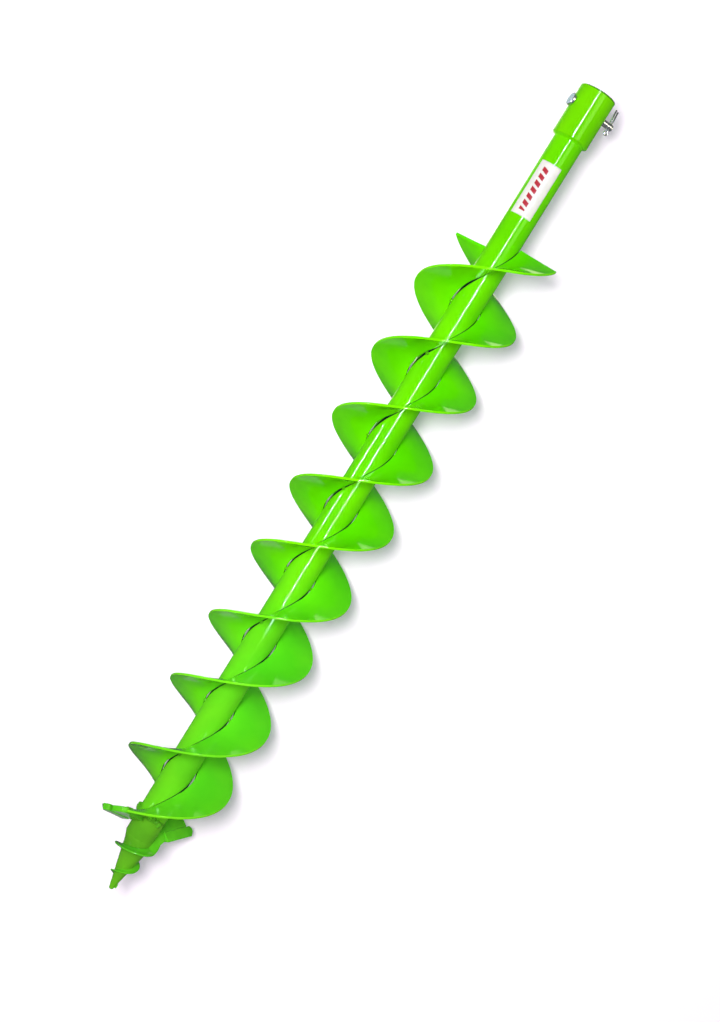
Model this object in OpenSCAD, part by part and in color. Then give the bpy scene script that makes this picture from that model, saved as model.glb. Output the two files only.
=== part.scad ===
// Two-flight auger bit with a pinned drive socket, cutting teeth and a pilot screw.
// The origin is the centre of the socket's mouth, +Z runs up out of the socket, and
// +X runs along the drive pin towards its cotter pin.

/* [Overall] */
// Length from the socket's mouth to the pilot's tip
overall_l = 798; // [790:0.5:810]
// Diameter over the flights
flight_d = 100; // [80:1:120]

/* [Shaft] */
// Outer diameter of the shaft tube
tube_d = 26.9; // [26:0.1:28]
// Wall of the shaft tube
tube_wall = 2.4; // [1.5:0.1:3]
// Level where the tube ends and the pilot begins
tube_bottom_z = -744; // [-748:1:-740]

/* [Socket] */
// Outer diameter of the drive socket
socket_d = 33; // [32:0.5:38]
// Length of the drive socket
socket_l = 45.5; // [42:0.5:50]
// Bore for the drive shaft
drive_bore_d = 20.2; // [20.1:0.05:20.4]
// Depth of the drive bore
drive_bore_l = 36; // [32:1:38]
// Height of the weld fillet under the socket
socket_weld_h = 2; // [2:0.5:5]

/* [Drive pin] */
// Shank diameter of the drive pin
pin_d = 6; // [5:0.5:6]
// Depth of the pin's axis below the mouth
pin_depth = 16.6; // [13:0.1:18]
// Head diameter
pin_head_d = 11.4; // [10:0.2:13]
// Head thickness
pin_head_h = 2.4; // [2:0.1:4]
// Distance from the shaft's axis to the pin's plain end
pin_reach = 27; // [26:0.5:32]
// How far the pin stands turned about its own axis
pin_turn = 8; // [0:1:45]

/* [Cotter pin] */
// Distance from the shaft's axis to the cotter pin
cotter_x = 24; // [22:0.1:24.4]
// Wire diameter of each leg
cotter_wire_d = 1.5; // [1:0.1:1.5]
// Height of the leg tips above the drive pin's axis
cotter_up = 15.8; // [9:0.1:18]
// Drop of the eye below the drive pin's axis
cotter_down = 8.3; // [8.3:0.1:14]

/* [Flights] */
// Rise of a flight in one turn
lead = 134; // [132:1:136]
// Thickness of the flight sheet
sheet_t = 2; // [1.5:0.1:3]
// Slit between the tube and a flight's inner edge
inner_gap = 1; // [0.6:0.1:2]
// Level of the first flight's bottom edge, where its cutter is fitted
low_a_z = -719.5; // [-724:0.5:-718]
// Level of the second flight's bottom edge, where its cutter is fitted
low_b_z = -724; // [-726:0.5:-721]
// Level of the first flight's top edge
top_a_z = -146; // [-154:1:-139]
// Level of the second flight's top edge
top_b_z = -157; // [-164:1:-154]
// Bearing of the first flight where its level would be zero
bearing_a = 357.8; // [350:0.1:370]
// Bearing of the second flight where its level would be zero
bearing_b = 185.6; // [175:0.1:195]

/* [Cutters] */
// Bearing of the first cutter
cutter_a_bearing = 218; // [215:0.1:225]
// Bearing of the second cutter
cutter_b_bearing = 40.6; // [35:0.1:45]
// Level of the first cutter's outer front corner
cutter_a_z = -725.5; // [-729:0.5:-724]
// Level of the second cutter's outer front corner
cutter_b_z = -731; // [-732:0.5:-728]
// Distance of the cutting edge's outer corner from the shaft's axis, along the cutter
cutter_reach = 55; // [50:0.5:56]
// Distance that the cutting edge leads the cutter's bearing
cutter_lead = 18; // [16:0.5:19]
// Forward and downward pitch of the cutters
cutter_pitch = 30; // [25:1:35]
// Outward rise of the cutting edge
cutter_rise = 12; // [8:1:14]
// Length of a tooth
tooth_l = 38; // [32:1:38]
// Width of a tooth, front to back
tooth_w = 10; // [8:0.5:11]
// Thickness of a tooth
tooth_t = 5.5; // [4:0.5:6]

/* [Pilot screw] */
// Diameter of the pilot at its rounded tip
pilot_tip_d = 4.4; // [3:0.2:6]
// Rise of the pilot's thread in one turn
pilot_lead = 23.4; // [20:0.2:26]
// Thread's outer radius at the tip, where it runs out into the cone
thread_tip_r = 2.8; // [2.5:0.1:3]
// Growth of the thread's outer radius per millimetre of height
thread_taper = 0.385; // [0.3:0.005:0.4]
// Bearing of the thread's crest, halfway up the pilot
thread_bearing = 338.6; // [0:0.1:360]

/* [Label] */
// Length of the label along the tube
label_l = 50; // [40:1:60]
// Level of the label's lower edge
label_z = -121.5; // [-125:0.5:-116]

/* [Hidden] */
$fn = 96;
tube_r = tube_d / 2;
bore_r = drive_bore_d / 2;
socket_r = socket_d / 2;
flight_r = flight_d / 2;
flight_inner_r = tube_r + inner_gap;
tip_z = -overall_l;
pilot_l = tube_bottom_z - tip_z;
edge_chamfer = 0.6;
pin_z = -pin_depth;
pin_clearance = 0.08;
pin_chamfer = 0.8;
shoulder_gap = 0.3;
relief_r = bore_r + 0.6;
relief_half_l = 4.2;
cotter_hole_r = 1.9;
cotter_wire_r = cotter_wire_d / 2;
cotter_eye_r = 1.7;
cotter_splay = 1.05;
leg_gap = 0.02;
steps_per_turn = 60;
tooth_reach = 0.8;
holder_l = 35;
holder_inset = 5;
holder_w = 13;
holder_t = 5;
tack_r = 2.6;
tack_spacing = 120;
label_t = 0.18;
label_start = 196;
label_span = 86;
spigot_l = 18;
tip_round_h = 1.8;
thread_start_h = 3;
thread_end_h = 50.5;
thread_mark_h = 26.5;
thread_sink = 0.6;
thread_steps_per_turn = 36;
section_gap = 0.05;
tack_first_h = 20;
tack_top_margin = 4;
bead_r = 2.2;
bead_inset = 3;
paint = "lawngreen";

// Bearing of a flight at a level.
function bearing(start, z) = start + z * 360 / lead;

// Half of the sheet's upright thickness at a radius: the sheet's own thickness is
// square to its slope, which is steeper near the shaft.
function half_t(r) = sheet_t / 2 * sqrt(1 + pow(lead / (2 * PI * r), 2));

function polar(r, a, z) = [r * cos(a), r * sin(a), z];

// Faces of a swept bar: ring i joins ring i + 1, and both ends are closed.
function sweep_faces(rings, sides) = concat(
    [[for (j = [0:sides - 1]) j]],
    [for (i = [0:rings - 2], j = [0:sides - 1])
        let (k = (j + 1) % sides)
        [i * sides + k, i * sides + j, (i + 1) * sides + j]],
    [for (i = [0:rings - 2], j = [0:sides - 1])
        let (k = (j + 1) % sides)
        [i * sides + k, (i + 1) * sides + j, (i + 1) * sides + k]],
    [[for (j = [sides - 1:-1:0]) (rings - 1) * sides + j]]
);

// One section of a right-handed flight between two levels.
module flight_section(start, low_z, high_z) {
    steps = ceil((high_z - low_z) / lead * steps_per_turn);
    points = [
        for (i = [0:steps])
            let (z = low_z + (high_z - low_z) * i / steps, a = bearing(start, z))
            each [
                polar(flight_inner_r, a, z - half_t(flight_inner_r)),
                polar(flight_inner_r, a, z + half_t(flight_inner_r)),
                polar(flight_r, a, z + half_t(flight_r)),
                polar(flight_r, a, z - half_t(flight_r))
            ]
    ];
    color(paint) polyhedron(points, sweep_faces(steps + 1, 4));
}

// A flight is made of one-turn sections, counted from the bottom, and a short top one.
module flight(start, low_z, top_z, index) {
    section_low = low_z + (index - 1) * lead;
    section_top = min(section_low + lead - section_gap, top_z);
    flight_section(start, section_low, section_top);
}

module drive_socket() {
    tube_seat_z = -drive_bore_l;
    relief_top = pin_z + relief_half_l;
    relief_bottom = pin_z - relief_half_l;
    color(paint) difference() {
        rotate_extrude() polygon([
            [bore_r, 0],
            [socket_r - edge_chamfer, 0],
            [socket_r, -edge_chamfer],
            [socket_r, -socket_l + edge_chamfer],
            [socket_r - edge_chamfer, -socket_l],
            [tube_r, -socket_l],
            [tube_r, tube_seat_z],
            [bore_r, tube_seat_z],
            [bore_r, relief_bottom],
            [relief_r, relief_bottom],
            [relief_r, relief_top],
            [bore_r, relief_top]
        ]);
        translate([0, 0, pin_z]) rotate([0, 90, 0])
            cylinder(h = 3 * socket_r, r = pin_d / 2 + pin_clearance, center = true);
    }
}

module socket_weld() {
    weld_top = -socket_l;
    color(paint) rotate_extrude() polygon([
        [tube_r, weld_top],
        [socket_r - edge_chamfer, weld_top],
        [tube_r + 1.2, weld_top - 0.45 * socket_weld_h],
        [tube_r + 0.4, weld_top - 0.75 * socket_weld_h],
        [tube_r, weld_top - socket_weld_h]
    ]);
}

module shaft_tube() {
    tube_top = -drive_bore_l;
    color(paint) difference() {
        translate([0, 0, tube_bottom_z]) cylinder(h = tube_top - tube_bottom_z, r = tube_r);
        translate([0, 0, tube_bottom_z - 1])
            cylinder(h = tube_top - tube_bottom_z + 2, r = tube_r - tube_wall);
    }
}

// Tack welds under a flight's inner edge, which tie it to the tube.
module tack_welds(start, low_z, top_z) {
    rise = lead * tack_spacing / 360;
    color(paint) for (z = [low_z + tack_first_h:rise:top_z - tack_top_margin])
        translate(polar(flight_inner_r, bearing(start, z), z - half_t(flight_inner_r)))
            sphere(r = tack_r);
}

// Places a child in the frame of a cutter: +X outward along the cutting edge, +Y back
// from it and +Z square out of the rake face.
module cutter_frame(side, corner_z) {
    rotate([0, 0, side])
        translate([cutter_reach, -cutter_lead, corner_z])
            rotate([0, -cutter_rise, 0]) rotate([cutter_pitch, 0, 0]) children();
}

// Tooth bar with a bevelled cutting edge and a clipped outer corner.
module cutting_tooth(side, corner_z) {
    edge = 1.2;
    clip = 3;
    color(paint) cutter_frame(side, corner_z) difference() {
        translate([tooth_reach - tooth_l, 0, 0]) rotate([90, 0, 90])
            linear_extrude(height = tooth_l) polygon([
                [0, 0],
                [tooth_w, 0],
                [tooth_w, -tooth_t],
                [edge * 2.4, -tooth_t],
                [0, -edge]
            ]);
        translate([tooth_reach, 0, -tooth_t - 1]) rotate([0, 0, 45])
            cube([2 * clip, 2 * clip, 2 * tooth_t + 2], center = true);
        translate([tooth_reach, tooth_w, -tooth_t - 1]) rotate([0, 0, 45])
            cube([clip, clip, 4 * tooth_t + 2], center = true);
    }
}

// Plate that carries a tooth, behind it and welded to the flight's end.
module cutter_holder(side, corner_z) {
    color(paint) cutter_frame(side, corner_z)
        translate([-holder_inset - holder_l, tooth_w, -holder_t])
            cube([holder_l, holder_w, holder_t]);
}

// Weld bead with round ends along the holder's back edge.
module cutter_weld(side, corner_z) {
    bead_l = holder_l - 2 * bead_inset;
    color(paint) cutter_frame(side, corner_z)
        translate([bead_inset - holder_inset - holder_l, tooth_w + holder_w - 1, -1]) {
            rotate([0, 90, 0]) cylinder(h = bead_l, r = bead_r);
            sphere(r = bead_r);
            translate([bead_l, 0, 0]) sphere(r = bead_r);
        }
}

// Tapered pilot with a spigot that plugs the tube.
module pilot_cone() {
    tip_r = pilot_tip_d / 2;
    spigot_r = tube_r - tube_wall - 0.03;
    color(paint) rotate_extrude() polygon([
        [0, tip_z],
        [tip_r * 0.5, tip_z + 0.2],
        [tip_r * 0.87, tip_z + 0.8],
        [tip_r, tip_z + tip_round_h],
        [tube_r, tube_bottom_z],
        [spigot_r, tube_bottom_z],
        [spigot_r, tube_bottom_z + spigot_l - 1],
        [spigot_r - 1, tube_bottom_z + spigot_l],
        [0, tube_bottom_z + spigot_l]
    ]);
}

// Radius of the pilot's cone at a height above the tip.
function cone_r(h) =
    let (tip_r = pilot_tip_d / 2)
    tip_r + (tube_r - tip_r) * (h - tip_round_h) / (pilot_l - tip_round_h);

// Tapered thread of the pilot, right-handed, growing from the tip.
module pilot_thread() {
    height = thread_end_h - thread_start_h;
    steps = round(height / pilot_lead * thread_steps_per_turn);
    points = [
        for (i = [0:steps])
            let (
                h = thread_start_h + height * i / steps,
                a = thread_bearing + (h - thread_mark_h) * 360 / pilot_lead,
                z = tip_z + h,
                root = cone_r(h) - thread_sink,
                crest = thread_tip_r + thread_taper * h,
                deep = min(1 + 0.045 * h, 2.4)
            )
            each [
                polar(root, a, z - deep),
                polar(root, a, z + deep * 0.7),
                polar(crest, a, z + 0.5),
                polar(crest, a, z - 0.5)
            ]
    ];
    color(paint) polyhedron(points, sweep_faces(steps + 1, 4));
}

module drive_pin() {
    pin_r = pin_d / 2;
    head_x = -socket_r - shoulder_gap;
    color("silver") difference() {
        translate([0, 0, pin_z]) rotate([0, 90, 0]) rotate_extrude() polygon([
            [0, head_x - pin_head_h],
            [pin_head_d / 2 - 0.5, head_x - pin_head_h],
            [pin_head_d / 2, head_x - pin_head_h + 0.5],
            [pin_head_d / 2, head_x - 0.2],
            [pin_head_d / 2 - 0.2, head_x],
            [pin_r, head_x],
            [pin_r, pin_reach - pin_chamfer],
            [pin_r - pin_chamfer, pin_reach],
            [0, pin_reach]
        ]);
        translate([cotter_x, 0, pin_z]) rotate([-pin_turn, 0, 0])
            cylinder(h = 3 * pin_d, r = cotter_hole_r, center = true);
    }
}

// One leg of the cotter pin, leaning out towards its tip.
module cotter_leg(side) {
    foot_x = cotter_wire_r + leg_gap;
    foot_z = -cotter_down + 2 * cotter_eye_r + cotter_wire_r;
    length = cotter_up - foot_z;
    lean = asin((cotter_splay - foot_x) / length);
    translate([side * foot_x, 0, foot_z]) rotate([0, side * lean, 0])
        cylinder(h = length, r = cotter_wire_r, $fn = 32);
}

module cotter_pin() {
    color("silver") translate([cotter_x, 0, pin_z]) rotate([-pin_turn, 0, 0]) {
        translate([0, 0, cotter_eye_r + cotter_wire_r - cotter_down]) rotate([90, 0, 0])
            rotate_extrude() translate([cotter_eye_r, 0]) circle(r = cotter_wire_r, $fn = 32);
        cotter_leg(1);
        cotter_leg(-1);
    }
}

// Thin label wrapped part of the way round the tube.
module size_label() {
    color("white") translate([0, 0, label_z]) rotate([0, 0, label_start])
        rotate_extrude(angle = label_span) translate([tube_r, 0]) square([label_t, label_l]);
}

drive_socket();
socket_weld();
shaft_tube();
flight(bearing_a, low_a_z, top_a_z, 1);  // flight_a_1
flight(bearing_a, low_a_z, top_a_z, 2);  // flight_a_2
flight(bearing_a, low_a_z, top_a_z, 3);  // flight_a_3
flight(bearing_a, low_a_z, top_a_z, 4);  // flight_a_4
flight(bearing_a, low_a_z, top_a_z, 5);  // flight_a_5
flight(bearing_b, low_b_z, top_b_z, 1);  // flight_b_1
flight(bearing_b, low_b_z, top_b_z, 2);  // flight_b_2
flight(bearing_b, low_b_z, top_b_z, 3);  // flight_b_3
flight(bearing_b, low_b_z, top_b_z, 4);  // flight_b_4
flight(bearing_b, low_b_z, top_b_z, 5);  // flight_b_5
tack_welds(bearing_a, low_a_z, top_a_z);  // tack_welds_a
tack_welds(bearing_b, low_b_z, top_b_z);  // tack_welds_b
cutter_holder(cutter_a_bearing, cutter_a_z);  // cutter_holder_a
cutter_holder(cutter_b_bearing, cutter_b_z);  // cutter_holder_b
cutting_tooth(cutter_a_bearing, cutter_a_z);  // cutting_tooth_a
cutting_tooth(cutter_b_bearing, cutter_b_z);  // cutting_tooth_b
cutter_weld(cutter_a_bearing, cutter_a_z);  // cutter_weld_a
cutter_weld(cutter_b_bearing, cutter_b_z);  // cutter_weld_b
pilot_cone();
pilot_thread();
drive_pin();
cotter_pin();
size_label();
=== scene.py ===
"""Looks of a two-flight auger bit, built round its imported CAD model.

Metres, in the part's own frame: the origin is the socket's mouth, +Z runs up out of it
and +X runs along the drive pin. The painted pieces are rebuilt as finer meshes with
rounded edges, weld beads and the uneven slit between the flights and the tube.
"""

import math

import bmesh
import bpy
from mathutils import Matrix, Vector, noise


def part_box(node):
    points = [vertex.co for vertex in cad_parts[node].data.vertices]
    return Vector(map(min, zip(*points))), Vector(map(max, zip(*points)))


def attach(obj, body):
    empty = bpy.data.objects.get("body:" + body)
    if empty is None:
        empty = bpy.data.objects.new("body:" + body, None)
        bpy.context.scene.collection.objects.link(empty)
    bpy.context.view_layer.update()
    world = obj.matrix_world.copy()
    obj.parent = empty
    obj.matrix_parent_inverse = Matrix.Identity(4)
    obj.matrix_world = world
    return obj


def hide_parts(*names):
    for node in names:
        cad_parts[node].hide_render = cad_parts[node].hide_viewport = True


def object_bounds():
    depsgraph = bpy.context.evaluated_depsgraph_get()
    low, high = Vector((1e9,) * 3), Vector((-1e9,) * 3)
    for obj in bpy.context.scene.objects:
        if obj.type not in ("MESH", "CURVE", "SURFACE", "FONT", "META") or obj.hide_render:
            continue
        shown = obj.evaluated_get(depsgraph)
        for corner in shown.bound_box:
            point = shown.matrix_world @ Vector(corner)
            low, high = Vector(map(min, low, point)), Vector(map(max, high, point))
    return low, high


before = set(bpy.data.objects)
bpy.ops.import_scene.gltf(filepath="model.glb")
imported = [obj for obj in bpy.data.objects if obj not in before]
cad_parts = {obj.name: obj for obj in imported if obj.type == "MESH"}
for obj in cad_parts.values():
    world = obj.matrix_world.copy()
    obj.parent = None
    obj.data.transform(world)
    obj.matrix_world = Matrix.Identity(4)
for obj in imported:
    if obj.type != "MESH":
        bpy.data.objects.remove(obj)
cad_low, cad_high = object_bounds()

MM = 0.001
TAU = 2 * math.pi


def radius_of(node):
    """Outer radius of a round node about the shaft's axis."""
    low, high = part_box(node)
    return (high.y - low.y) / 2


# ---- Sizes, from the frame ----
TUBE_R = radius_of("shaft_tube")
TUBE_LOW, TUBE_HIGH = (corner.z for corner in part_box("shaft_tube"))
SOCKET_R = radius_of("drive_socket")
FLIGHT_R = radius_of("flight_a_2")
TIP_Z = cad_low.z
PIN_LOW, PIN_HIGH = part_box("drive_pin")
PIN_Z = (PIN_LOW.z + PIN_HIGH.z) / 2

# ---- Sizes that repeat the CAD model's ----
LEAD = 134 * MM
SHEET_T = 2 * MM
INNER_GAP = 1 * MM
TUBE_WALL = 2.4 * MM
BEARING = {"a": math.radians(357.8), "b": math.radians(185.6)}
LOW_Z = {"a": -719.5 * MM, "b": -724 * MM}
TOP_Z = {"a": -146 * MM, "b": -157 * MM}
CUTTER_SIDE = {"a": math.radians(218), "b": math.radians(40.6)}
CORNER_Z = {"a": -725.5 * MM, "b": -731 * MM}


def polar(radius, angle, z):
    """Point at a radius and an angle in radians, on a level."""
    return Vector((radius * math.cos(angle), radius * math.sin(angle), z))


def around(side, distance, z):
    """Point at a bearing in degrees, a distance from the shaft's axis and a level."""
    return polar(distance, math.radians(side), z)


def bearing(side, z):
    """Bearing of a flight at a level."""
    return BEARING[side] + z * TAU / LEAD


def half_t(radius):
    """Half of the sheet's upright thickness: its own thickness is square to its slope."""
    return SHEET_T / 2 * math.hypot(1, LEAD / (TAU * radius))


# ---- Mesh helpers ----
def new_object(name, mesh, material):
    """Object in the scene from a mesh, smooth and in one material."""
    piece = bpy.data.objects.new(name, mesh)
    bpy.context.scene.collection.objects.link(piece)
    mesh.materials.append(material)
    for face in mesh.polygons:
        face.use_smooth = True
    return piece


def weighted(piece):
    """Keeps broad faces flat-lit where small rounded edges join them."""
    modifier = piece.modifiers.new("weighted", "WEIGHTED_NORMAL")
    modifier.weight = 100
    return piece


def swept(name, rings, material, caps=True, looped=False, normals=None):
    """Mesh through rings of points: caps closes the ends, looped joins last ring to first.

    Each ring runs so that the outside is on its left, seen against the sweep. Normals are
    the outward ones of the rings' points, for a bar that goes on past its ends.
    """
    mesh = bpy.data.meshes.new(name)
    sides = len(rings[0])
    count = len(rings)
    points = [point for ring in rings for point in ring]
    faces = []
    for i in range(count if looped else count - 1):
        first, second = i * sides, (i + 1) % count * sides
        for j in range(sides):
            k = (j + 1) % sides
            faces.append((first + j, first + k, second + k, second + j))
    walls = len(faces)
    if caps and not looped:
        faces.append(tuple(reversed(range(sides))))
        faces.append(tuple(range((count - 1) * sides, count * sides)))
    mesh.from_pydata(points, [], faces)
    if normals is None:
        bm = bmesh.new()
        bm.from_mesh(mesh)
        bmesh.ops.recalc_face_normals(bm, faces=bm.faces)
        bm.to_mesh(mesh)
        bm.free()
    piece = new_object(name, mesh, material)
    if normals is not None:
        flat = [normal for ring in normals for normal in ring]
        loops = [flat[index] for face in faces[:walls] for index in face]
        for face in mesh.polygons[walls:]:
            loops += [face.normal.copy()] * len(face.vertices)
        mesh.normals_split_custom_set(loops)
    return piece


def lathed(name, profile, material, steps=160, shape=None):
    """Closed profile of (radius, z) points turned about the shaft's axis."""
    rings = []
    for i in range(steps):
        angle = TAU * i / steps
        ring = [polar(radius, angle, z) for radius, z in profile]
        if shape:
            ring = [shape(point, angle) for point in ring]
        rings.append(ring)
    return swept(name, rings, material, caps=False, looped=True)


def round_corner(corner, before, after, radius, steps=4):
    """Points that round one corner of an outline in the plane."""
    corner, before, after = Vector(corner), Vector(before), Vector(after)
    start = corner + (before - corner).normalized() * radius
    end = corner + (after - corner).normalized() * radius
    points = []
    for i in range(steps + 1):
        t = i / steps
        points.append(start * (1 - t) ** 2 + corner * 2 * t * (1 - t) + end * t * t)
    return [tuple(point) for point in points]


def rounded(outline, radius, steps=4):
    """Closed outline with every corner rounded."""
    count = len(outline)
    points = []
    for i, corner in enumerate(outline):
        points += round_corner(
            corner, outline[i - 1], outline[(i + 1) % count], radius, steps
        )
    return points


def ride_as(piece, body, slot, *nodes):
    """Parents a finished piece to its CAD body's empty and hides the CAD nodes it stands for."""
    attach(piece, body)
    if nodes:
        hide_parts(*nodes)
    return piece


# ---- Materials ----
# Levels between which the paint takes on blue, then dims, towards the bit's lower end: painted
# shade where the light falls off
FALLOFF_TINT_FROM, FALLOFF_TINT_TO = -0.44, -0.56
FALLOFF_SHADE_FROM, FALLOFF_SHADE_TO = -0.58, -0.68
# The label's red bars: how many fit its length, their slant, and their share of each step
BARS = 8
BAR_SLANT = 0.16
BAR_SHARE = 0.62
# The field they fill, as shares of the label's width and of its length
BARS_ACROSS = (0.28, 0.55)
BARS_ALONG = (0.09, 0.90)


def new_material(name):
    """Empty node material, with what its maker needs to fill it."""
    material = bpy.data.materials.new(name)
    material.use_nodes = True
    nodes = material.node_tree.nodes
    return material, nodes, material.node_tree.links, nodes["Principled BSDF"]


def noise_node(nodes, links, vector, scale, detail=3.0, roughness=0.5):
    """Noise texture read at a vector."""
    node = nodes.new("ShaderNodeTexNoise")
    node.inputs["Scale"].default_value = scale
    node.inputs["Detail"].default_value = detail
    node.inputs["Roughness"].default_value = roughness
    links.new(vector, node.inputs["Vector"])
    return node


def ramp_node(nodes, links, factor, stops):
    """Colour ramp through (position, colour) stops."""
    node = nodes.new("ShaderNodeValToRGB")
    links.new(factor, node.inputs["Fac"])
    while len(node.color_ramp.elements) < len(stops):
        node.color_ramp.elements.new(0.5)
    for element, (position, color) in zip(node.color_ramp.elements, stops):
        element.position = position
        element.color = (*color, 1)
    return node


def bump_node(nodes, links, height, strength, distance, under=None):
    """Bump from a height, laid over another bump's normal if there is one."""
    node = nodes.new("ShaderNodeBump")
    node.inputs["Strength"].default_value = strength
    node.inputs["Distance"].default_value = distance
    links.new(height, node.inputs["Height"])
    if under:
        links.new(under, node.inputs["Normal"])
    return node


def paint_material(name, low, high, lumpy=0.1):
    """Gloss powder coat: orange peel, soft waves, rubbed patches, and painted shade that tints
    and dims the lower end.

    Its clear layer is what shows the lamps as white streaks.
    """
    material, nodes, links, shader = new_material(name)
    place = nodes.new("ShaderNodeTexCoord").outputs["Object"]
    mottle = noise_node(nodes, links, place, 18, 4)
    colour = ramp_node(nodes, links, mottle.outputs["Fac"], [(0.35, low), (0.68, high)])
    height = nodes.new("ShaderNodeSeparateXYZ")
    links.new(place, height.inputs["Vector"])
    # Painted shade: the paint turns bluer towards the lower end, where the light falls off
    falloff_tint = nodes.new("ShaderNodeMapRange")
    falloff_tint.inputs["From Min"].default_value = FALLOFF_TINT_FROM
    falloff_tint.inputs["From Max"].default_value = FALLOFF_TINT_TO
    links.new(height.outputs["Z"], falloff_tint.inputs["Value"])
    falloff_tinted = nodes.new("ShaderNodeMix")
    falloff_tinted.data_type = "RGBA"
    falloff_tinted.blend_type = "ADD"
    links.new(falloff_tint.outputs["Result"], falloff_tinted.inputs["Factor"])
    links.new(colour.outputs["Color"], falloff_tinted.inputs["A"])
    falloff_tinted.inputs["B"].default_value = (0.0, 0.0, 0.011, 1)
    # Painted shade: the paint dims further down, where the light falls off more
    painted_shade = nodes.new("ShaderNodeMapRange")
    painted_shade.inputs["From Min"].default_value = FALLOFF_SHADE_FROM
    painted_shade.inputs["From Max"].default_value = FALLOFF_SHADE_TO
    links.new(height.outputs["Z"], painted_shade.inputs["Value"])
    falloff_shaded = nodes.new("ShaderNodeMix")
    falloff_shaded.data_type = "RGBA"
    falloff_shaded.blend_type = "MULTIPLY"
    links.new(painted_shade.outputs["Result"], falloff_shaded.inputs["Factor"])
    links.new(falloff_tinted.outputs["Result"], falloff_shaded.inputs["A"])
    falloff_shaded.inputs["B"].default_value = (0.97, 0.90, 1, 1)
    links.new(falloff_shaded.outputs["Result"], shader.inputs["Base Color"])
    rub = noise_node(nodes, links, place, 60, 6, 0.65)
    gloss = nodes.new("ShaderNodeMapRange")
    gloss.inputs["From Min"].default_value = 0.35
    gloss.inputs["From Max"].default_value = 0.75
    gloss.inputs["To Min"].default_value = 0.06
    gloss.inputs["To Max"].default_value = 0.13
    links.new(rub.outputs["Fac"], gloss.inputs["Value"])
    links.new(gloss.outputs["Result"], shader.inputs["Roughness"])
    wave = noise_node(nodes, links, place, 22, 2)
    waves = bump_node(nodes, links, wave.outputs["Fac"], lumpy, 0.004)
    peel = noise_node(nodes, links, place, 900, 2)
    peeled = bump_node(nodes, links, peel.outputs["Fac"], 0.07, 0.0004, waves.outputs["Normal"])
    links.new(peeled.outputs["Normal"], shader.inputs["Normal"])
    shader.inputs["Specular IOR Level"].default_value = 0.2
    shader.inputs["Specular Tint"].default_value = (0.45, 1.0, 0.06, 1)
    shader.inputs["Coat Weight"].default_value = 0.2
    shader.inputs["Coat Roughness"].default_value = 0.03
    links.new(peeled.outputs["Normal"], shader.inputs["Coat Normal"])
    return material


def slit_shade_material():
    """Near-black with faint green and brown patches: painted shade deep in the slit between a
    flight and the tube.
    """
    material, nodes, links, shader = new_material("painted_shade_in_the_slit")
    place = nodes.new("ShaderNodeTexCoord").outputs["Object"]
    rust = noise_node(nodes, links, place, 90, 5, 0.6)
    colour = ramp_node(
        nodes,
        links,
        rust.outputs["Fac"],
        [
            (0.35, (0.001, 0.006, 0.002)),
            (0.6, (0.002, 0.020, 0.005)),
            (0.8, (0.010, 0.012, 0.004)),
        ],
    )
    links.new(colour.outputs["Color"], shader.inputs["Base Color"])
    shader.inputs["Roughness"].default_value = 0.8
    shader.inputs["Specular IOR Level"].default_value = 0.05
    rough = bump_node(nodes, links, rust.outputs["Fac"], 0.2, 0.001)
    links.new(rough.outputs["Normal"], shader.inputs["Normal"])
    return material


def zinc_material():
    """Bright zinc plate with fine drawn lines and small dull spots."""
    material, nodes, links, shader = new_material("bright_zinc")
    place = nodes.new("ShaderNodeTexCoord").outputs["Object"]
    spots = noise_node(nodes, links, place, 700, 4, 0.6)
    colour = ramp_node(
        nodes,
        links,
        spots.outputs["Fac"],
        [(0.3, (0.42, 0.44, 0.42)), (0.6, (0.80, 0.83, 0.80))],
    )
    links.new(colour.outputs["Color"], shader.inputs["Base Color"])
    dull = nodes.new("ShaderNodeMapRange")
    dull.inputs["From Min"].default_value = 0.3
    dull.inputs["From Max"].default_value = 0.7
    dull.inputs["To Min"].default_value = 0.26
    dull.inputs["To Max"].default_value = 0.12
    links.new(spots.outputs["Fac"], dull.inputs["Value"])
    links.new(dull.outputs["Result"], shader.inputs["Roughness"])
    shader.inputs["Metallic"].default_value = 0.92
    grain = noise_node(nodes, links, place, 2600, 3)
    lines = bump_node(nodes, links, grain.outputs["Fac"], 0.15, 0.0002)
    links.new(lines.outputs["Normal"], shader.inputs["Normal"])
    return material


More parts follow.
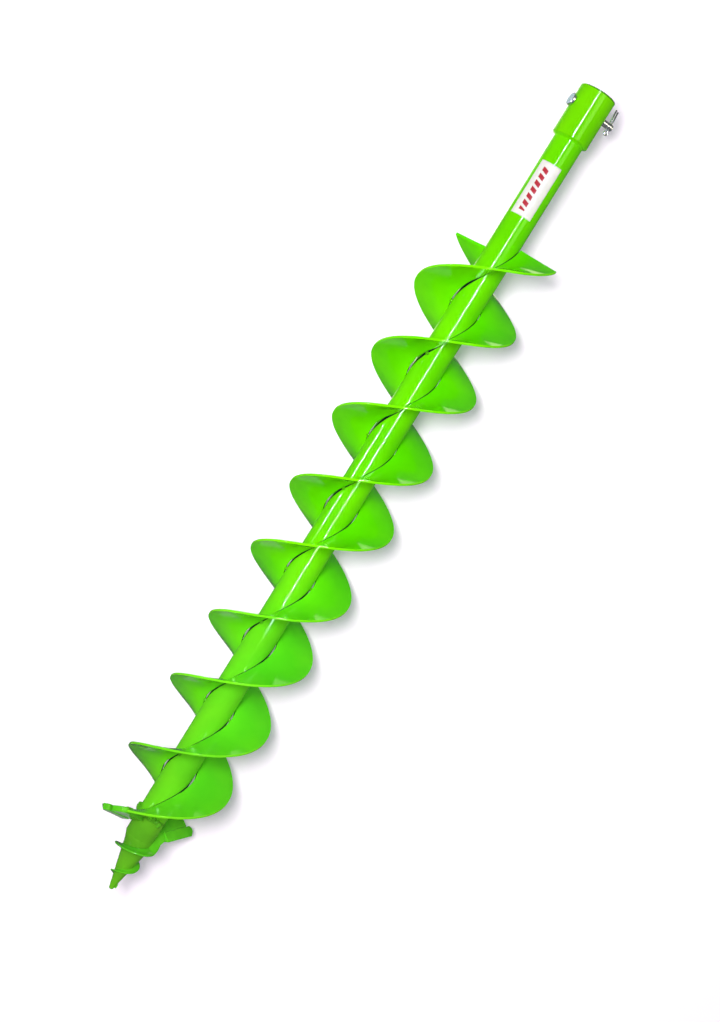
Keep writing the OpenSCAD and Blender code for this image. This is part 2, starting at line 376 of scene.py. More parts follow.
def label_material():
    """White film with a plain row of slanted red bars, which spell nothing."""
    material, nodes, links, shader = new_material("label_film")
    film = nodes.new("ShaderNodeUVMap")
    film.uv_map = "film"
    split = nodes.new("ShaderNodeSeparateXYZ")
    links.new(film.outputs["UV"], split.inputs["Vector"])

    def math_node(operation, first, second):
        node = nodes.new("ShaderNodeMath")
        node.operation = operation
        for socket, value in zip(node.inputs, (first, second)):
            if isinstance(value, (int, float)):
                socket.default_value = value
            else:
                links.new(value, socket)
        return node.outputs["Value"]

    across, along = split.outputs["X"], split.outputs["Y"]
    slant = math_node("MULTIPLY", across, BAR_SLANT)
    steps = math_node("MULTIPLY", math_node("ADD", along, slant), BARS)
    bar = math_node("LESS_THAN", math_node("FRACT", steps, 0), BAR_SHARE)
    for (low, high), value in ((BARS_ACROSS, across), (BARS_ALONG, along)):
        bar = math_node("MULTIPLY", bar, math_node("GREATER_THAN", value, low))
        bar = math_node("MULTIPLY", bar, math_node("LESS_THAN", value, high))
    place = nodes.new("ShaderNodeTexCoord").outputs["Object"]
    wear = noise_node(nodes, links, place, 120, 5, 0.6)
    film_colour = ramp_node(
        nodes,
        links,
        wear.outputs["Fac"],
        [(0.3, (0.64, 0.62, 0.57)), (0.65, (0.72, 0.70, 0.65))],
    )
    ink = nodes.new("ShaderNodeMix")
    ink.data_type = "RGBA"
    links.new(bar, ink.inputs["Factor"])
    links.new(film_colour.outputs["Color"], ink.inputs["A"])
    ink.inputs["B"].default_value = (0.38, 0.002, 0.003, 1)
    links.new(ink.outputs["Result"], shader.inputs["Base Color"])
    shader.inputs["Roughness"].default_value = 0.5
    shader.inputs["Specular IOR Level"].default_value = 0.25
    wrinkle = noise_node(nodes, links, place, 160, 2)
    bumped = bump_node(nodes, links, wrinkle.outputs["Fac"], 0.2, 0.001)
    links.new(bumped.outputs["Normal"], shader.inputs["Normal"])
    return material


# Each paint has its darker and lighter colour, and the depth of its waves
# Dimmer copy of the tube paint for the socket: painted shade, as the light falls off at the top
# end
SOCKET_SHADED_GREEN = paint_material(
    "green_socket_painted_shade", (0.115, 0.54, 0.0006), (0.155, 0.62, 0.001), 0.02
)
# Yellower copy of the flight paint for the tube and the socket's weld: painted light, for the
# stronger light on the tube
GREEN = paint_material("green_tube_painted_light", (0.110, 0.58, 0.0006), (0.150, 0.665, 0.001), 0.02)
FLIGHT_GREEN = paint_material(
    "green_flight_coat", (0.088, 0.64, 0.0006), (0.125, 0.74, 0.001), 0.2
)
# Lighter, yellower copy of the flight paint for the sheets' undersides: painted light, as the
# undersides catch more light
UNDERSIDE_LIT_GREEN = paint_material(
    "green_underside_painted_light", (0.115, 0.67, 0.0006), (0.170, 0.79, 0.001), 0.25
)
# Brighter, yellower copy of the flight paint for the rounded rims: painted highlight along the
# rims
RIM_HIGHLIGHT_GREEN = paint_material("green_rim_painted_highlight", (0.145, 0.70, 0.0010), (0.195, 0.80, 0.0015), 0.1)
CUTTER_GREEN = paint_material("green_cutter_coat", (0.06, 0.44, 0.002), (0.12, 0.64, 0.004), 0.5)
# Dark paint for the shaded part of the socket's mouth edge: painted shade
MOUTH_SHADE_GREEN = paint_material("green_painted_shade_edge", (0.03, 0.16, 0.001), (0.05, 0.26, 0.001), 0.2)
# Darker paint for the pilot and the tube's foot: painted shade, as they sit under the lowest
# flights and cutters
PILOT_SHADED_GREEN = paint_material("green_pilot_painted_shade", (0.09, 0.37, 0.002), (0.14, 0.54, 0.004), 0.6)
THREAD_GREEN = paint_material("green_thread_coat", (0.07, 0.46, 0.002), (0.13, 0.66, 0.004), 0.5)
WELD_GREEN = paint_material("green_over_weld", (0.06, 0.30, 0.002), (0.12, 0.52, 0.004), 0.6)
SLIT_SHADE = slit_shade_material()
ZINC = zinc_material()
FILM = label_material()


# ---- Flights ----
STEPS_PER_TURN = 144
SHEET_EDGE = 0.35 * MM
RIM_STEPS = 8
# Points along a ring before the rim starts, and the same from its end
RIM_START = 10
# Places of a sheet's materials after its first one
RIM_HIGHLIGHT_SLOT, SLIT_SHADE_SLOT, UNDERSIDE_LIT_SLOT = 1, 2, 3


def level(stops, place):
    """Value between (place, value) stops, straight from each one to the next."""
    for (low, first), (high, second) in zip(stops[:-1], stops[1:]):
        if place <= high:
            share = max(place - low, 0) / (high - low)
            return first + (second - first) * share
    return stops[-1][1]


def slit(side, angle, z):
    """Slit between the tube and a flight's inner edge, which wanders along the weld line.

    Its stops are bearings in degrees and gaps in mm.
    """
    down = level([(-0.75, 1), (-0.45, 0.75), (-0.33, 0)], z)
    wide = 2.6 - 1.5 * down
    right = 0.7 + 0.6 * down
    turn = math.degrees(angle) % 360
    gap = level(
        [
            (0, 0.4),
            (55, 0.75),
            (90, 0.5),
            (150, 0.7),
            (162, 1.3),
            (182, 1.7),
            (193, wide),
            (218, wide),
            (244, 0.5),
            (288, 0.5),
            (300, right),
            (328, right),
            (340, 0.5 + 0.7 * down),
            (352, 0.5),
            (360, 0.4),
        ],
        turn,
    )
    drift = noise.noise(Vector((angle * 0.9, 3.0 if side == "a" else 9.0, 0.5)))
    return gap * (1 + 0.3 * drift) * MM


def lift(side, z):
    """How far a flight stands off its true helix: the first one is bent at both ends.

    Its stops are levels in metres and lifts in mm.
    """
    if side == "b":
        return 0
    stops = [(-0.704, 2.4), (-0.669, 0), (-0.215, 0), (-0.19, -1.1), (-0.163, -1.1), (-0.146, 0)]
    return level(stops, z) * MM


def flight_ring(side, z):
    """Cross-section of the sheet at one bearing, from the inner edge round the rim."""
    angle = bearing(side, z)
    inner = TUBE_R + slit(side, angle, z)
    seed = 1.0 if side == "a" else 6.0
    ripple = 0.3 * MM * noise.noise(Vector((angle * 1.7, 20.0, seed)))
    shares = (0.04, 0.12, 0.25, 0.4, 0.55, 0.7, 0.85, 0.95)
    stations = [inner + (FLIGHT_R - inner) * share for share in shares]
    stations.append(FLIGHT_R - SHEET_EDGE - 0.08 * MM)
    first = inner + SHEET_EDGE
    outline = [(inner, half_t(inner) - SHEET_EDGE), (first, half_t(first))]
    outline += [(radius, half_t(radius)) for radius in stations]
    rim = half_t(FLIGHT_R)
    for i in range(RIM_STEPS + 1):
        turn = math.pi * (0.5 - i / RIM_STEPS)
        reach = FLIGHT_R - SHEET_EDGE + SHEET_EDGE * math.cos(turn)
        side_z = math.copysign(rim - SHEET_EDGE, math.sin(turn)) + SHEET_EDGE * math.sin(turn)
        outline.append((reach, side_z if i != RIM_STEPS // 2 else 0))
    outline += [(radius, -half_t(radius)) for radius in reversed(stations)]
    outline += [(first, -half_t(first)), (inner, SHEET_EDGE - half_t(inner))]
    base = z + lift(side, z)
    ring = []
    for radius, height in outline:
        share = (radius - inner) / (FLIGHT_R - inner)
        ring.append(polar(radius, angle, base + height + ripple * share * (1 - share) * 4))
    return ring


def outward(rings):
    """Outward normal at each point of a swept bar, from its neighbours on all sides."""
    sides = len(rings[0])
    normals = []
    for i, ring in enumerate(rings):
        before, after = rings[max(i - 1, 0)], rings[min(i + 1, len(rings) - 1)]
        row = []
        for j in range(sides):
            back = (ring[j] - ring[j - 1]).normalized()
            on = (ring[(j + 1) % sides] - ring[j]).normalized()
            row.append((back + on).cross(after[j] - before[j]).normalized())
        normals.append(row)
    return normals


def build_flight(side):
    """One piece for each section of a flight, all cut from one smooth sheet."""
    step = LEAD / STEPS_PER_TURN
    count = math.ceil((TOP_Z[side] - LOW_Z[side]) / step)
    levels = [min(LOW_Z[side] + i * step, TOP_Z[side]) for i in range(count + 1)]
    rings = [flight_ring(side, z) for z in levels]
    normals = outward(rings)
    sides = len(rings[0])
    for index in range(1, 6):
        node = f"flight_{side}_{index}"
        first = (index - 1) * STEPS_PER_TURN
        last = min(first + STEPS_PER_TURN, count) + 1
        piece = swept(
            f"{node}_sheet", rings[first:last], FLIGHT_GREEN, normals=normals[first:last]
        )
        for material in (RIM_HIGHLIGHT_GREEN, SLIT_SHADE, UNDERSIDE_LIT_GREEN):
            piece.data.materials.append(material)
        walls = (last - first - 1) * sides
        for number, face in enumerate(piece.data.polygons[:walls]):
            column = number % sides
            # The inner edge faces take the slit paint: painted shade in the slit
            if column == sides - 1:
                face.material_index = SLIT_SHADE_SLOT
            # Rim faces take the painted highlight
            elif RIM_START <= column < sides - RIM_START - 1:
                face.material_index = RIM_HIGHLIGHT_SLOT
            # Underside faces take the lighter paint: painted light
            elif column >= RIM_START:
                face.material_index = UNDERSIDE_LIT_SLOT
        ride_as(piece, "auger", "green_paint", node)


def build_slit_shade_strip(side):
    """Dark line on the tube, behind the slit: painted shade in the slit."""
    step = LEAD / STEPS_PER_TURN
    half = half_t(TUBE_R) * 1.15
    low, high = TUBE_R - 0.3 * MM, TUBE_R + 0.05 * MM
    first, last = LOW_Z[side] + 3 * MM, TOP_Z[side] - 3 * MM
    count = math.ceil((last - first) / step)
    rings = []
    for i in range(count + 1):
        z = min(first + i * step, last)
        angle = bearing(side, z)
        base = z + lift(side, z)
        outline = [(low, -half), (low, half), (high, half), (high, -half)]
        rings.append([polar(radius, angle, base + height) for radius, height in outline])
    ride_as(swept(f"slit_shade_strip_{side}", rings, SLIT_SHADE), "auger", "green_paint")


# ---- Welds ----
TACKS_PER_TURN = 3
TACK_FIRST = 20 * MM
TACK_MARGIN = 4 * MM


def blob(bm, centre, size, seed, stretch=(1, 1, 1)):
    """Uneven drop of weld metal."""
    made = bmesh.ops.create_icosphere(bm, subdivisions=3, radius=1)
    for vertex in made["verts"]:
        rough = 1 + 0.28 * noise.noise(vertex.co * 1.6 + Vector((seed, 0, 0)))
        out = Vector(c * s for c, s in zip(vertex.co, stretch)) * rough * size
        vertex.co = centre + out


def mesh_piece(name, bm, material):
    """Object from a bmesh, which is freed."""
    mesh = bpy.data.meshes.new(name)
    bm.to_mesh(mesh)
    bm.free()
    return new_object(name, mesh, material)


def build_tacks(side):
    """Tack welds under a flight's inner edge."""
    bm = bmesh.new()
    rise = LEAD / TACKS_PER_TURN
    z = LOW_Z[side] + TACK_FIRST
    seed = 1 if side == "a" else 50
    while z <= TOP_Z[side] - TACK_MARGIN:
        under = z + lift(side, z) - half_t(TUBE_R + INNER_GAP)
        blob(bm, polar(TUBE_R + 0.2 * MM, bearing(side, z), under), 1.7 * MM, seed)
        z += rise
        seed += 1
    piece = mesh_piece(f"tack_beads_{side}", bm, WELD_GREEN)
    ride_as(piece, "auger", "green_paint", f"tack_welds_{side}")


def build_socket_weld():
    """Fillet weld under the socket, with the ripples of its runs."""
    low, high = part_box("socket_weld")
    drop = high.z - low.z
    outer = SOCKET_R - 0.7 * MM

    def ripple(point, angle):
        depth = min(max((high.z - point.z) / drop, 0), 1)
        round_trip = Vector((math.cos(angle) * 3, math.sin(angle) * 3, 2))
        run = 0.10 * math.sin(angle * 46) + 0.35 * noise.noise(round_trip)
        radius = math.hypot(point.x, point.y)
        return polar(radius + 0.3 * MM * run * math.sin(math.pi * depth), angle, point.z)

    profile = [(TUBE_R - 0.3 * MM, high.z + 0.2 * MM), (outer, high.z + 0.2 * MM)]
    for i in range(9):
        t = i / 8
        profile.append((TUBE_R + (outer - TUBE_R) * (1 - t) ** 1.7, high.z - drop * t ** 1.1))
    profile.append((TUBE_R - 0.3 * MM, low.z))
    piece = lathed("socket_weld_bead", profile, GREEN, 240, ripple)
    ride_as(piece, "auger", "green_paint", "socket_weld")


# ---- Cutters ----
CUTTER_LEAD = 18 * MM
CUTTER_REACH = 55 * MM
CUTTER_PITCH = math.radians(30)
CUTTER_RISE = math.radians(12)
TOOTH_L, TOOTH_W, TOOTH_T = 38 * MM, 10 * MM, 5.5 * MM
TOOTH_REACH = 0.8 * MM
TOOTH_GROUND = 4.5 * MM
TOOTH_UNDERCUT = 2.9 * MM
HOLDER_L, HOLDER_W, HOLDER_T, HOLDER_INSET = 35 * MM, 13 * MM, 5 * MM, 5 * MM
HOLDER_BEADS = 15


def cutter_frame(side):
    """+X outward along the cutting edge, +Y back from it, +Z square out of the rake face."""
    return (
        Matrix.Rotation(CUTTER_SIDE[side], 4, "Z")
        @ Matrix.Translation((CUTTER_REACH, -CUTTER_LEAD, CORNER_Z[side]))
        @ Matrix.Rotation(-CUTTER_RISE, 4, "Y")
        @ Matrix.Rotation(CUTTER_PITCH, 4, "X")
    )


def bevelled(piece, width):
    """Rounds the sharp edges of a finished bar."""
    modifier = piece.modifiers.new("bevel", "BEVEL")
    modifier.width = width
    modifier.segments = 3
    modifier.limit_method = "ANGLE"
    modifier.angle_limit = math.radians(25)
    return weighted(piece)


def prism(name, outline, low, high, matrix, material):
    """Outline in the frame's XY plane, given thickness along its Z."""
    rings = [[matrix @ Vector((x, y, z)) for x, y in outline] for z in (low, high)]
    return swept(name, rings, material)


def build_cutter(side):
    """Tooth bar ground back under its edge, the holder plate behind it and the bead on that."""
    matrix = cutter_frame(side)
    clip = 3 * MM
    right = TOOTH_REACH
    left = TOOTH_REACH - TOOTH_L
    outline = [
        (left, 0),
        (right - clip * 1.41, 0),
        (right, clip * 1.41),
        (right, TOOTH_W - clip * 0.7),
        (right - clip * 0.7, TOOTH_W),
        (left, TOOTH_W),
    ]
    tooth = prism(f"tooth_bar_{side}", outline, -TOOTH_T, 0, matrix, CUTTER_GREEN)
    to_frame = matrix.inverted()
    for vertex in tooth.data.vertices:
        local = to_frame @ vertex.co
        if local.z < -TOOTH_T / 2 and local.y < TOOTH_GROUND:
            local.y += TOOTH_UNDERCUT * (1 - local.y / TOOTH_GROUND)
            vertex.co = matrix @ local
    bevelled(tooth, 0.7 * MM)
    ride_as(tooth, "auger", "green_paint", f"cutting_tooth_{side}")

    outer = -HOLDER_INSET
    inner = outer - HOLDER_L
    back = TOOTH_W + HOLDER_W
    outline = [
        (inner, TOOTH_W),
        (outer, TOOTH_W),
        (outer, back - 3 * MM),
        (outer - 3 * MM, back),
        (inner + 2 * MM, back),
        (inner, back - 2 * MM),
    ]
    holder = prism(f"holder_plate_{side}", outline, -HOLDER_T, 0, matrix, CUTTER_GREEN)
    bevelled(holder, 0.6 * MM)
    ride_as(holder, "auger", "green_paint", f"cutter_holder_{side}")

    bm = bmesh.new()
    for i in range(HOLDER_BEADS):
        along = inner + 3 * MM + (HOLDER_L - 8 * MM) * i / (HOLDER_BEADS - 1)
        wander = 0.5 * MM * noise.noise(Vector((i * 0.8, 4.0, 0)))
        centre = matrix @ Vector((along, back - 1 * MM + wander, -1 * MM))
        blob(bm, centre, 2.1 * MM, 80 + i, (0.9, 0.9, 0.9))
    bead = mesh_piece(f"holder_bead_{side}", bm, WELD_GREEN)
    ride_as(bead, "auger", "green_paint", f"cutter_weld_{side}")


# ---- Pilot ----
PILOT_LEAD = 23.4 * MM
PILOT_TIP_R = 2.2 * MM
THREAD_TIP_R = 2.8 * MM
THREAD_TAPER = 0.385
THREAD_LOW, THREAD_HIGH = 3 * MM, 52.6 * MM
THREAD_MARK = 26.5 * MM
THREAD_BEARING = math.radians(338.6)
TIP_ROUND = 1.8 * MM
TIP_STEPS = 6
CONE_STEPS = 12
FIN_STEPS = 300
SEAM_BEADS = 44
# Radius that stands for the axis itself, so that no two points of a ring meet
NEAR_AXIS = 0.0001 * MM
PILOT_SEAM_Z = -723.5 * MM
# Bearing, height off the tube, level and size of each lump of weld, in degrees and mm
LUMPS = [
    (164, 0.2, -720.0, 2.6),
    (174, 0.6, -721.2, 2.9),
    (184, 0.4, -722.0, 2.6),
    (196, 0.2, -724.0, 2.4),
    (262, 0.0, -721.5, 2.2),
    (276, 0.3, -722.6, 2.6),
    (289, 0.5, -724.2, 2.8),
]


def cone_r(height):
    """Radius of the pilot's cone at a height above the tip."""
    share = (height - TIP_ROUND) / (TUBE_LOW - TIP_Z - TIP_ROUND)
    return PILOT_TIP_R + (TUBE_R - PILOT_TIP_R) * share


def off_line(point):
    """Point of the pilot, which leans a little to one side."""
    aside = level([(TIP_Z, 2.5), (TUBE_LOW - 8 * MM, 1.6), (TUBE_LOW, 0)], point.z)
    return point + polar(aside * MM, math.radians(340), 0)


def build_pilot():
    """Tapered cone with a rounded tip, and the fin that winds up it."""
    profile = [(NEAR_AXIS, TIP_Z)]
    for i in range(1, TIP_STEPS + 1):
        turn = math.pi / 2 * i / TIP_STEPS
        profile.append(
            (PILOT_TIP_R * math.sin(turn), TIP_Z + TIP_ROUND * (1 - math.cos(turn)))
        )
    for i in range(1, CONE_STEPS + 1):
        share = i / CONE_STEPS
        height = TIP_ROUND + (TUBE_LOW - TIP_Z - TIP_ROUND) * share
        swell = 0.8 * MM * math.sin(math.pi * share) * share
        profile.append((cone_r(height) + swell, TIP_Z + height))
    profile += [(TUBE_R - 1.5 * MM, TUBE_LOW + 2 * MM), (NEAR_AXIS, TUBE_LOW + 2 * MM)]
    cone = lathed("pilot_body", profile, PILOT_SHADED_GREEN, 96, lambda point, _: off_line(point))
    ride_as(cone, "auger", "green_paint", "pilot_cone")

    rings = []
    for i in range(FIN_STEPS + 1):
        height = THREAD_LOW + (THREAD_HIGH - THREAD_LOW) * i / FIN_STEPS
        angle = THREAD_BEARING + (height - THREAD_MARK) * TAU / PILOT_LEAD
        root = cone_r(height) - 0.6 * MM
        run_out = level([(46, 0), (50.6, -2.2), (51.6, 1.2), (52.6, 5)], height / MM) * MM
        rise = level([(48.2, 0), (50.6, 4.6), (51.6, 7.6), (52.6, 10)], height / MM) * MM
        crest = max(THREAD_TIP_R + THREAD_TAPER * height, root + 1.0 * MM) + run_out
        crest += 0.3 * MM * noise.noise(Vector((angle * 1.3, 7.0, 0)))
        deep = min(1 * MM + 0.06 * height, 3.2 * MM) + 0.35 * rise
        tip = min(0.45 * MM + 0.012 * height, 0.9 * MM)
        fin = crest - root
        outline = [
            (root, -deep),
            (root + 0.12 * fin, -0.75 * deep),
            (root + 0.4 * fin, -0.5 * deep),
        ]
        for k in range(9):
            turn = math.pi * (k / 8 - 0.5)
            outline.append((crest - tip + tip * math.cos(turn), tip * math.sin(turn)))
        outline += [
            (root + 0.55 * fin, 0.3 * deep),
            (root + 0.25 * fin, 0.6 * deep),
            (root, 1.1 * deep),
        ]
        base = TIP_Z + height + rise
        rings.append([off_line(polar(radius, angle, base + dz)) for radius, dz in outline])
    thread = weighted(swept("pilot_fin", rings, THREAD_GREEN))
    ride_as(thread, "auger", "green_paint", "pilot_thread")


def build_lumps():
    """Rough welds round the tube, where the pilot and the lowest holder are tied to it."""
    bm = bmesh.new()
    for i in range(SEAM_BEADS):
        turn = TAU * i / SEAM_BEADS
        wander = 1.2 * MM * noise.noise(Vector((math.cos(turn) * 2, math.sin(turn) * 2, 5)))
        place = polar(TUBE_R - 1.3 * MM, turn, PILOT_SEAM_Z + wander)
        blob(bm, place, 1.8 * MM, 120 + i, (1, 1, 1.1))
    ring = mesh_piece("pilot_bead", bm, WELD_GREEN)
    ride_as(ring, "auger", "green_paint")

    bm = bmesh.new()
    for i, (side, out, z, size) in enumerate(LUMPS):
        blob(bm, around(side, TUBE_R + out * MM, z * MM), size * MM, 160 + i)
    lumps = mesh_piece("weld_lumps", bm, WELD_GREEN)
    ride_as(lumps, "auger", "green_paint")


# ---- Tube, socket, pin and label ----
def build_tube():
    """The tube, with the bore that shows down the socket."""
    inner = TUBE_R - TUBE_WALL
    for name, low, high, material in (
        ("tube_skin", PILOT_SEAM_Z, TUBE_HIGH, GREEN),
        # The foot below the pilot's weld takes the darker pilot paint: painted shade
        ("tube_foot", TUBE_LOW, PILOT_SEAM_Z, PILOT_SHADED_GREEN),
    ):
        corners = [(inner, low), (TUBE_R, low), (TUBE_R, high), (inner, high)]
        piece = weighted(lathed(name, rounded(corners, 0.15 * MM, 2), material, 192))
        ride_as(piece, "auger", "green_paint", "shaft_tube")


def build_mouth_shade_edge():
    """Dark edge along part of the socket's mouth, on its shaded side: painted shade."""
    rings = []
    steps = 60
    start, span = math.radians(202), math.radians(148)
    for i in range(steps + 1):
        angle = start + span * i / steps
        thin = math.sin(math.pi * i / steps) ** 0.5
        low = 0.6 * MM + 0.8 * MM * thin
        outer = SOCKET_R + 0.05 * MM
        outline = [
            (SOCKET_R - 0.5 * MM, -0.04 * MM),
            (outer - 0.02 * MM, -0.52 * MM),
            (outer, -low),
            (SOCKET_R - 0.4 * MM, -low),
        ]
        rings.append([polar(radius, angle, z) for radius, z in reversed(outline)])
    ride_as(swept("mouth_shade_edge", rings, MOUTH_SHADE_GREEN), "auger", "green_paint")


def build_cotter():
    """Split pin bent from one wire: two legs and the eye."""
    wire = 0.75 * MM
    eye_r = 1.7 * MM
    down, up, splay = 8.3 * MM, 15.8 * MM, 1.05 * MM
    bend, bend_z = 0.92 * MM, 6 * MM
    foot = wire + 0.02 * MM
    eye_z = eye_r + wire - down
    foot_z = -down + 2 * eye_r + wire
    path = [Vector((-splay, 0, up)), Vector((-splay, 0, up - 0.5 * MM))]
    path += [Vector((-bend, 0, bend_z)), Vector((-foot, 0, foot_z + 0.4 * MM))]
    for i in range(25):
        turn = math.radians(119 + 302 * i / 24)
        path.append(Vector((eye_r * math.cos(turn), 0, eye_z + eye_r * math.sin(turn))))
    path += [Vector((foot, 0, foot_z + 0.4 * MM)), Vector((bend, 0, bend_z))]
    path += [Vector((splay, 0, up - 1.2 * MM)), Vector((splay, 0, up - 0.7 * MM))]
    low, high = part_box("cotter_pin")
    lean = Matrix.Rotation(math.radians(-8), 4, "X")
    turned = Matrix.Translation(((low.x + high.x) / 2, 0, PIN_Z)) @ lean
    rings = []
    sides = 20
    for i, point in enumerate(path):
        ahead = (path[min(i + 1, len(path) - 1)] - path[max(i - 1, 0)]).normalized()
        across = Vector((0, 1, 0))
        square = ahead.cross(across)
        taper = 0.7 if i in (0, len(path) - 1) else 1
        ring = []
        for j in range(sides):
            spin = TAU * j / sides
            offset = (across * math.cos(spin) + square * math.sin(spin)) * wire * taper
            ring.append(turned @ (point + offset))
        rings.append(ring)
    cotter = swept("split_pin_wire", rings, ZINC)
    ride_as(cotter, "cotter", "zinc_steel", "cotter_pin")


def build_label():
    """Thin square-cut film, wrapped on the tube."""
    start, span = math.radians(196), math.radians(86)
    low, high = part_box("size_label")
    columns, rows = 48, 40
    thick = 0.16 * MM
    bm = bmesh.new()
    film = bm.loops.layers.uv.new("film")
    grid = []
    for i in range(columns + 1):
        u = i / columns
        line = []
        for j in range(rows + 1):
            v = j / rows
            proud = thick + 0.04 * MM * noise.noise(Vector((u * 4, v * 9, 0)))
            place = polar(TUBE_R + proud, start + span * u, low.z + (high.z - low.z) * v)
            line.append((bm.verts.new(place), u, v))
        grid.append(line)
    for i in range(columns):
        for j in range(rows):
            corners = [grid[i][j], grid[i + 1][j], grid[i + 1][j + 1], grid[i][j + 1]]
            face = bm.faces.new([corner[0] for corner in corners])
            for loop, (_, u, v) in zip(face.loops, corners):
                loop[film].uv = (u, v)
    label = mesh_piece("label_sheet", bm, FILM)
    solid = label.modifiers.new("film", "SOLIDIFY")
    solid.thickness = thick
    solid.offset = -1
    ride_as(label, "auger", "label", "size_label")


def repaint(node, material):
    """Gives a CAD node that keeps its own mesh a finished material."""
    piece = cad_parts[node]
    piece.data.materials.clear()
    piece.data.materials.append(material)


for flight_side in ("a", "b"):
    build_flight(flight_side)
    build_slit_shade_strip(flight_side)
    build_tacks(flight_side)
    build_cutter(flight_side)
build_socket_weld()
build_pilot()
build_lumps()
build_tube()
build_mouth_shade_edge()
build_cotter()
build_label()
repaint("drive_socket", SOCKET_SHADED_GREEN)
repaint("drive_pin", ZINC)


# ---- Stage: pale surface that the bit lies on, lights and camera ----
FACING = math.radians(-22)
CAMERA_PLACE = Vector((0.01495, -1.32966, -0.31547))
CAMERA_SHIFT = Vector((-0.29 * MM, 0.95 * MM, 0))
CAMERA_TILT = math.radians(-3.79)
CAMERA_ROLL = math.radians(31.76)
LENS = 54.93
SURFACE_GAP = 4 * MM
SURFACE_GLOW = 0.1
SURFACE_HALF = 4.0
MIDDLE = Vector((0, 0, -0.404))
# Strengths of the world where it lights, where it is seen and where the gloss mirrors it
WORLD_DIFFUSE = 0.42
WORLD_SEEN = 1.1
WORLD_GLOSS = 0.10
STRIP_DISTANCE = 1.33
STREAK_COLOUR = (0.75, 0.85, 1.4)


def facing(point):
    """Turns a point given as the camera sees it, left to right, into the part's frame."""
    return Matrix.Rotation(FACING, 3, "Z") @ Vector(point)


def build_surface():
    """Pale sheet behind the bit. It is clear from behind and to the gloss's own rays."""
    material, nodes, links, shader = new_material("pale_surface")
    place = nodes.new("ShaderNodeTexCoord").outputs["Object"]
    mottle = noise_node(nodes, links, place, 3, 3)
    colour = ramp_node(
        nodes,
        links,
        mottle.outputs["Fac"],
        [(0.3, (0.93, 0.825, 0.91)), (0.7, (0.95, 0.845, 0.93))],
    )
    links.new(colour.outputs["Color"], shader.inputs["Base Color"])
    shader.inputs["Roughness"].default_value = 0.9
    path = nodes.new("ShaderNodeLightPath")
    glow = nodes.new("ShaderNodeMath")
    glow.operation = "MULTIPLY"
    links.new(path.outputs["Is Camera Ray"], glow.inputs[0])
    glow.inputs[1].default_value = SURFACE_GLOW
    shader.inputs["Emission Color"].default_value = (1, 0.985, 1, 1)
    links.new(glow.outputs["Value"], shader.inputs["Emission Strength"])
    clear = nodes.new("ShaderNodeBsdfTransparent")
    side = nodes.new("ShaderNodeNewGeometry")
    unseen = nodes.new("ShaderNodeMath")
    unseen.operation = "MAXIMUM"
    links.new(side.outputs["Backfacing"], unseen.inputs[0])
    links.new(path.outputs["Is Glossy Ray"], unseen.inputs[1])
    mix = nodes.new("ShaderNodeMixShader")
    links.new(unseen.outputs["Value"], mix.inputs["Fac"])
    links.new(shader.outputs["BSDF"], mix.inputs[1])
    links.new(clear.outputs["BSDF"], mix.inputs[2])
    links.new(mix.outputs["Shader"], nodes["Material Output"].inputs["Surface"])
    depth = FLIGHT_R + SURFACE_GAP
    half = SURFACE_HALF
    corners = [(-half, -half), (half, -half), (half, half), (-half, half)]
    mesh = bpy.data.meshes.new("surface")
    mesh.from_pydata([facing((x, depth, z)) for x, z in corners], [], [(0, 1, 2, 3)])
    surface = new_object("surface", mesh, material)


def camera_turn():
    """Turn of the camera: level and square to the surface, tipped down a little, then rolled."""
    return (
        Matrix.Rotation(FACING, 3, "Z")
        @ Matrix.Rotation(math.pi / 2 + CAMERA_TILT, 3, "X")
        @ Matrix.Rotation(CAMERA_ROLL, 3, "Z")
    )


def seen(right, up, toward):
    """Point given as the camera sees it: right, up and toward it from the bit's middle."""
    return MIDDLE + camera_turn() @ Vector((right, up, toward))


def area_light(name, place, aim, width, height, power, colour=(1, 1, 1)):
    """Rectangular lamp at a place, turned to its aim and hidden from the camera."""
    data = bpy.data.lights.new(name, "AREA")
    data.shape = "RECTANGLE"
    data.size, data.size_y = width, height
    data.energy = power
    data.color = colour
    lamp = bpy.data.objects.new(name, data)
    bpy.context.scene.collection.objects.link(lamp)
    lamp.location = place
    back = (place - aim).normalized()
    side = Vector((0, 0, 1)).cross(back).normalized()
    up = back.cross(side)
    lamp.rotation_mode = "QUATERNION"
    lamp.rotation_quaternion = Matrix((side, up, back)).transposed().to_quaternion()
    lamp.visible_camera = False
    return lamp


def strip_light(name, side, low, high, width, power, colour=(1, 1, 1)):
    """Upright strip that only shows as a streak in the gloss."""
    middle = (low + high) / 2
    place = around(side, STRIP_DISTANCE, middle)
    lamp = area_light(name, place, Vector((0, 0, middle)), width, high - low, power, colour)
    lamp.visible_diffuse = False
    return lamp


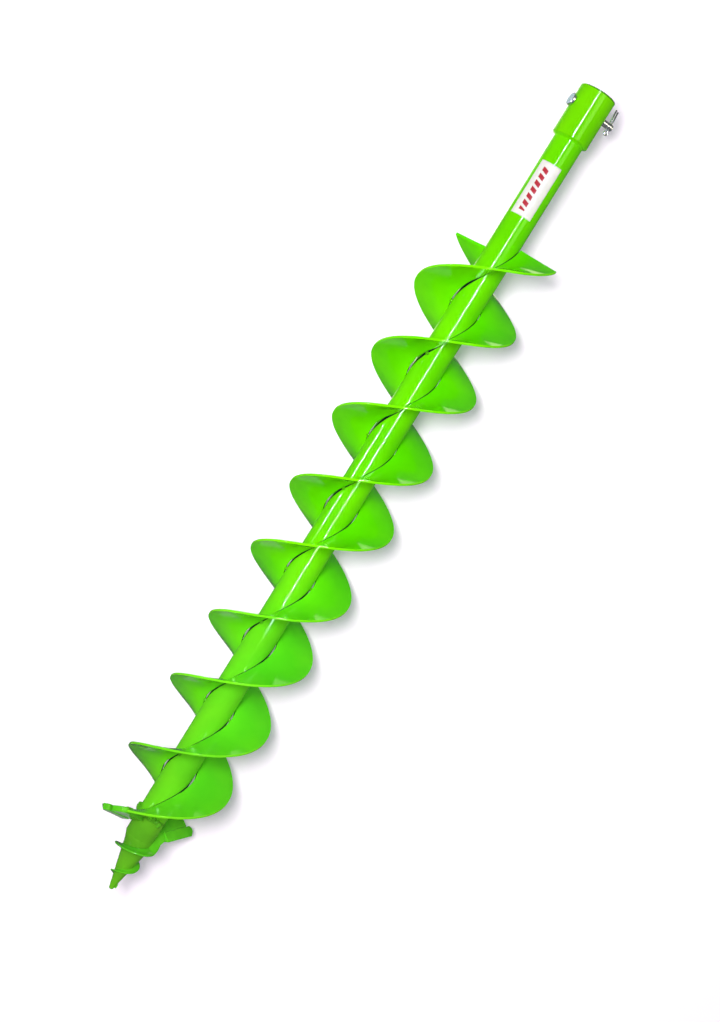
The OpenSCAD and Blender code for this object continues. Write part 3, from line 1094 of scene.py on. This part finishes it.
def build_world():
    """White all round, with only a dim glow for the gloss to mirror."""
    world = bpy.data.worlds.new("studio")
    world.use_nodes = True
    nodes, links = world.node_tree.nodes, world.node_tree.links
    shade = nodes["Background"]
    shade.inputs["Color"].default_value = (0.95, 0.96, 1.0, 1)
    path = nodes.new("ShaderNodeLightPath")
    strength = nodes.new("ShaderNodeMix")
    links.new(path.outputs["Is Glossy Ray"], strength.inputs["Factor"])
    seen_white = nodes.new("ShaderNodeMix")
    links.new(path.outputs["Is Camera Ray"], seen_white.inputs["Factor"])
    seen_white.inputs["A"].default_value = WORLD_DIFFUSE
    seen_white.inputs["B"].default_value = WORLD_SEEN
    links.new(seen_white.outputs["Result"], strength.inputs["A"])
    strength.inputs["B"].default_value = WORLD_GLOSS
    links.new(strength.outputs["Result"], shade.inputs["Strength"])
    bpy.context.scene.world = world


def build_lights():
    """Soft key from beside the camera, and the cards and strips that show in the gloss."""
    key = area_light("key", seen(-0.20, 0.16, 1.5), MIDDLE, 0.40, 0.40, 24)
    key.visible_glossy = False
    strip_light("streak", 251.4, -0.740, 0.315, 0.05, 50, STREAK_COLOUR)
    strip_light("short_streak", 185.4, -0.545, -0.347, 0.045, 17, STREAK_COLOUR)
    strip_light("warm_sheen", 284, 0.0, 0.6, 0.5, 5, (1, 0.9, 0.7))
    strip_light("high_card", 83, -0.3, 0.8, 0.9, 4.5, (1, 1, 0.6))
    strip_light("low_card", 56, -1.8, -1.2, 0.5, 0.25)
    strip_light("head_card", 111, 0.10, 0.45, 0.4, 0.4, (0.55, 0.75, 0.85))


def build_camera():
    """Camera that frames the whole bit across the picture."""
    data = bpy.data.cameras.new("camera")
    data.lens = LENS
    data.sensor_width = 36
    data.clip_start, data.clip_end = 0.05, 20
    camera = bpy.data.objects.new("camera", data)
    bpy.context.scene.collection.objects.link(camera)
    place = facing(CAMERA_PLACE) + camera_turn() @ CAMERA_SHIFT
    camera.matrix_world = Matrix.Translation(place) @ camera_turn().to_4x4()
    bpy.context.scene.camera = camera


build_surface()
build_world()
build_lights()
build_camera()
bpy.context.scene.view_settings.view_transform = "Standard"
